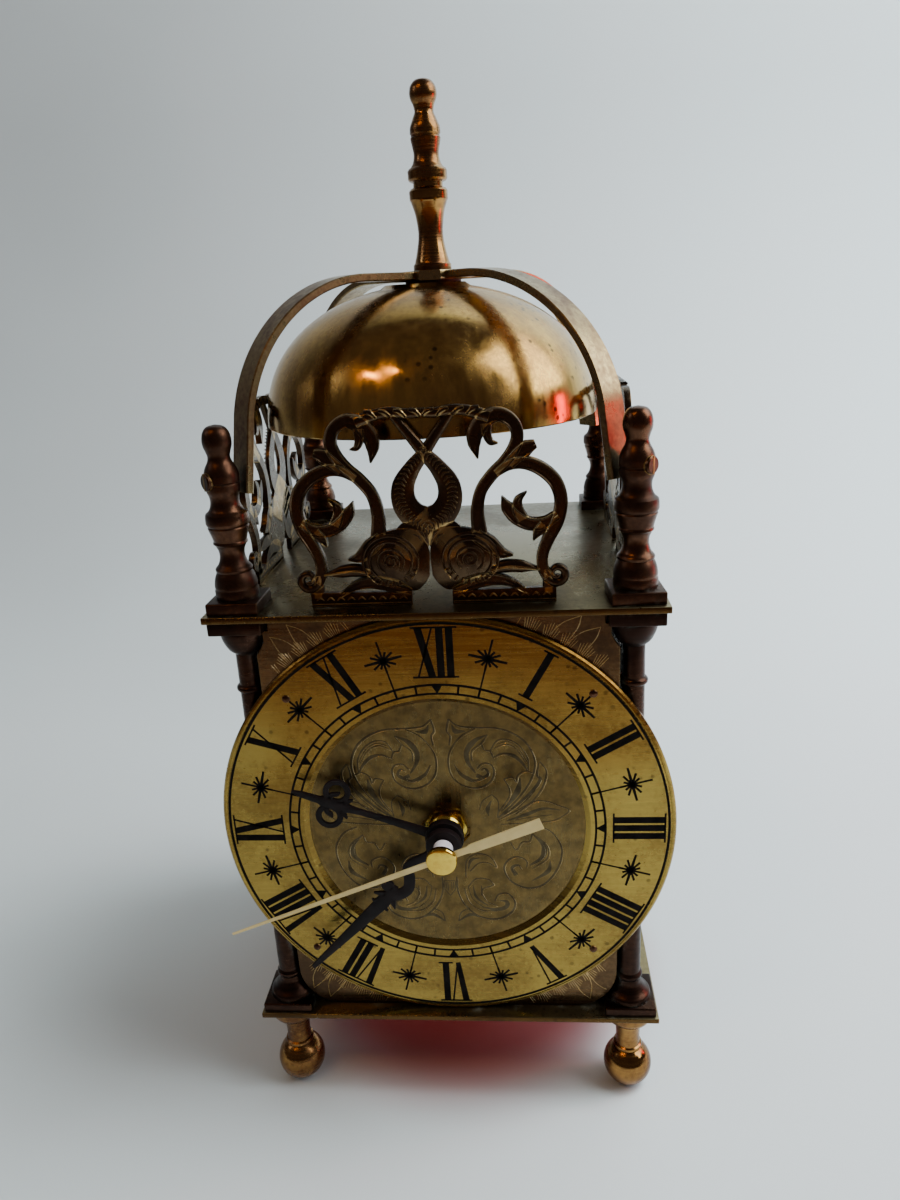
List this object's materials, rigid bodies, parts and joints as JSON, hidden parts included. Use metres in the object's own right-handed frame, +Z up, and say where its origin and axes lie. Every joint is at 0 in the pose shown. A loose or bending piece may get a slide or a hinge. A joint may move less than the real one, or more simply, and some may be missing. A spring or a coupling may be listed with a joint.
{
  "type": "lantern clock",
  "caption": "Small table clock: square brass case on ball feet, round dial with three hands, pierced frets, domed bell under crossed straps, battery movement and a hinged rear door.",
  "frame": {"origin": "on the resting surface, under the middle of the case", "axes": "+Z up, +X to the right of someone reading the dial, the dial faces -Y"},
  "size_m": [0.1046, 0.1179, 0.2393],
  "materials": {
    "aged_brass": "aged brown brass, satin, worn bright on edges",
    "turned_brass": "turned brass, polished and partly toned brown",
    "strap_brass": "rolled brass strip, brushed and toned",
    "bell_brass": "spun bronze-coloured brass, polished with fine dark specks",
    "cast_brass": "cast brass, dark in the hollows and bright on the rims",
    "dial_brass": "brushed gold brass with black-filled engraving",
    "engraved_brass": "dark olive toned brass with engraved scrolls",
    "gilt_brass": "bright plated brass",
    "black_paint": "black lacquered steel sheet",
    "pale_gold_paint": "pale gold painted aluminium sheet",
    "zinc_steel": "zinc plated steel",
    "fibre_washer": "dark fibre washer",
    "case_plastic": "black moulded plastic",
    "wheel_plastic": "white moulded plastic",
    "shaft_steel": "thin steel shaft with a moulded wheel",
    "battery_sleeve": "plain printed sleeve with no marks",
    "copper_wire": "enamelled copper wire",
    "soft_iron": "soft iron sheet",
    "board_resin": "green circuit board"
  },
  "bodies": {
    "case": {"ball_foot_front_left": "turned_brass", "ball_foot_front_right": "turned_brass", "ball_foot_rear_left": "turned_brass", "ball_foot_rear_right": "turned_brass", "base_plate": "aged_brass", "battery": "battery_sleeve", "battery_contacts": "zinc_steel", "bell": "bell_brass", "bell_cage_hub": "strap_brass", "bell_nut": "zinc_steel", "bell_spacer": "fibre_washer", "bell_strap_front_left": "strap_brass", "bell_strap_front_right": "strap_brass", "bell_strap_rear_left": "strap_brass", "bell_strap_rear_right": "strap_brass", "chapter_ring": "dial_brass", "circuit_board": "board_resin", "coil": "copper_wire", "column_front_left": "aged_brass", "column_front_right": "aged_brass", "column_rear_left": "aged_brass", "column_rear_right": "aged_brass", "corner_finial_front_left": "aged_brass", "corner_finial_front_right": "aged_brass", "corner_finial_rear_left": "aged_brass", "corner_finial_rear_right": "aged_brass", "dial_centre": "engraved_brass", "dial_rivets": "dial_brass", "dial_washer": "gilt_brass", "front_fret": "cast_brass", "front_plate": "aged_brass", "hex_nut": "gilt_brass", "left_fret": "cast_brass", "left_side_panel": "aged_brass", "middle_plate": "case_plastic", "movement_front_case": "case_plastic", "movement_rear_case": "case_plastic", "plinth_blocks": "aged_brass", "right_fret": "cast_brass", "right_side_panel": "aged_brass", "stator": "soft_iron", "strap_screws": "aged_brass", "top_finial": "turned_brass", "top_plate": "aged_brass"},
    "second_hand_set": {"seconds_wheel": "shaft_steel", "second_hand": "pale_gold_paint", "second_hand_cap": "gilt_brass"},
    "fifth_wheel_set": {"fifth_wheel": "wheel_plastic"},
    "rotor_set": {"rotor": "wheel_plastic"},
    "third_wheel_set": {"third_wheel": "wheel_plastic"},
    "centre_wheel_set": {"centre_wheel": "wheel_plastic"},
    "minute_hand_set": {"minute_arbor": "wheel_plastic", "minute_hand": "black_paint"},
    "motion_wheel_set": {"motion_wheel": "wheel_plastic", "setting_knob": "case_plastic"},
    "hour_hand_set": {"hour_wheel": "wheel_plastic", "hour_hand": "black_paint"},
    "rear_door_set": {"rear_door": "aged_brass", "door_knob": "turned_brass"}
  },
  "joints": [
    {"name": "second_hand_turn", "type": "hinge", "parent": "case", "child": "second_hand_set", "pos_m": [0, -0.0355, 0.0778], "axis": [0, 1, 0], "continuous": true},
    {"name": "fifth_wheel_turn", "type": "hinge", "parent": "case", "child": "fifth_wheel_set", "pos_m": [0.00658, -0.0345, 0.07541], "axis": [0, 1, 0], "continuous": true},
    {"name": "rotor_turn", "type": "hinge", "parent": "case", "child": "rotor_set", "pos_m": [0.01367, -0.0345, 0.07666], "axis": [0, 1, 0], "continuous": true},
    {"name": "third_wheel_turn", "type": "hinge", "parent": "case", "child": "third_wheel_set", "pos_m": [0.00504, -0.038, 0.08653], "axis": [0, 1, 0], "continuous": true},
    {"name": "centre_wheel_turn", "type": "hinge", "parent": "case", "child": "centre_wheel_set", "pos_m": [0, -0.0393, 0.0778], "axis": [0, 1, 0], "continuous": true},
    {"name": "minute_hand_turn", "type": "hinge", "parent": "case", "child": "minute_hand_set", "pos_m": [0, -0.0407, 0.0778], "axis": [0, 1, 0], "continuous": true},
    {"name": "motion_wheel_turn", "type": "hinge", "parent": "case", "child": "motion_wheel_set", "pos_m": [-0.01008, -0.0407, 0.0778], "axis": [0, 1, 0], "continuous": true},
    {"name": "hour_hand_turn", "type": "hinge", "parent": "case", "child": "hour_hand_set", "pos_m": [0, -0.0421, 0.0778], "axis": [0, 1, 0], "continuous": true},
    {"name": "rear_door_swing", "type": "hinge", "parent": "case", "child": "rear_door_set", "pos_m": [-0.0355, 0.0449, 0.0778], "axis": [0, 0, 1], "range_deg": [0, 90]}
  ],
  "couplings": [
    {"joint": "fifth_wheel_turn", "follows": "second_hand_turn", "ratio": -6},
    {"joint": "rotor_turn", "follows": "second_hand_turn", "ratio": 30},
    {"joint": "third_wheel_turn", "follows": "second_hand_turn", "ratio": -0.125},
    {"joint": "centre_wheel_turn", "follows": "second_hand_turn", "ratio": 0.016667},
    {"joint": "motion_wheel_turn", "follows": "minute_hand_turn", "ratio": -0.33333},
    {"joint": "hour_hand_turn", "follows": "minute_hand_turn", "ratio": 0.083333}
  ]
}
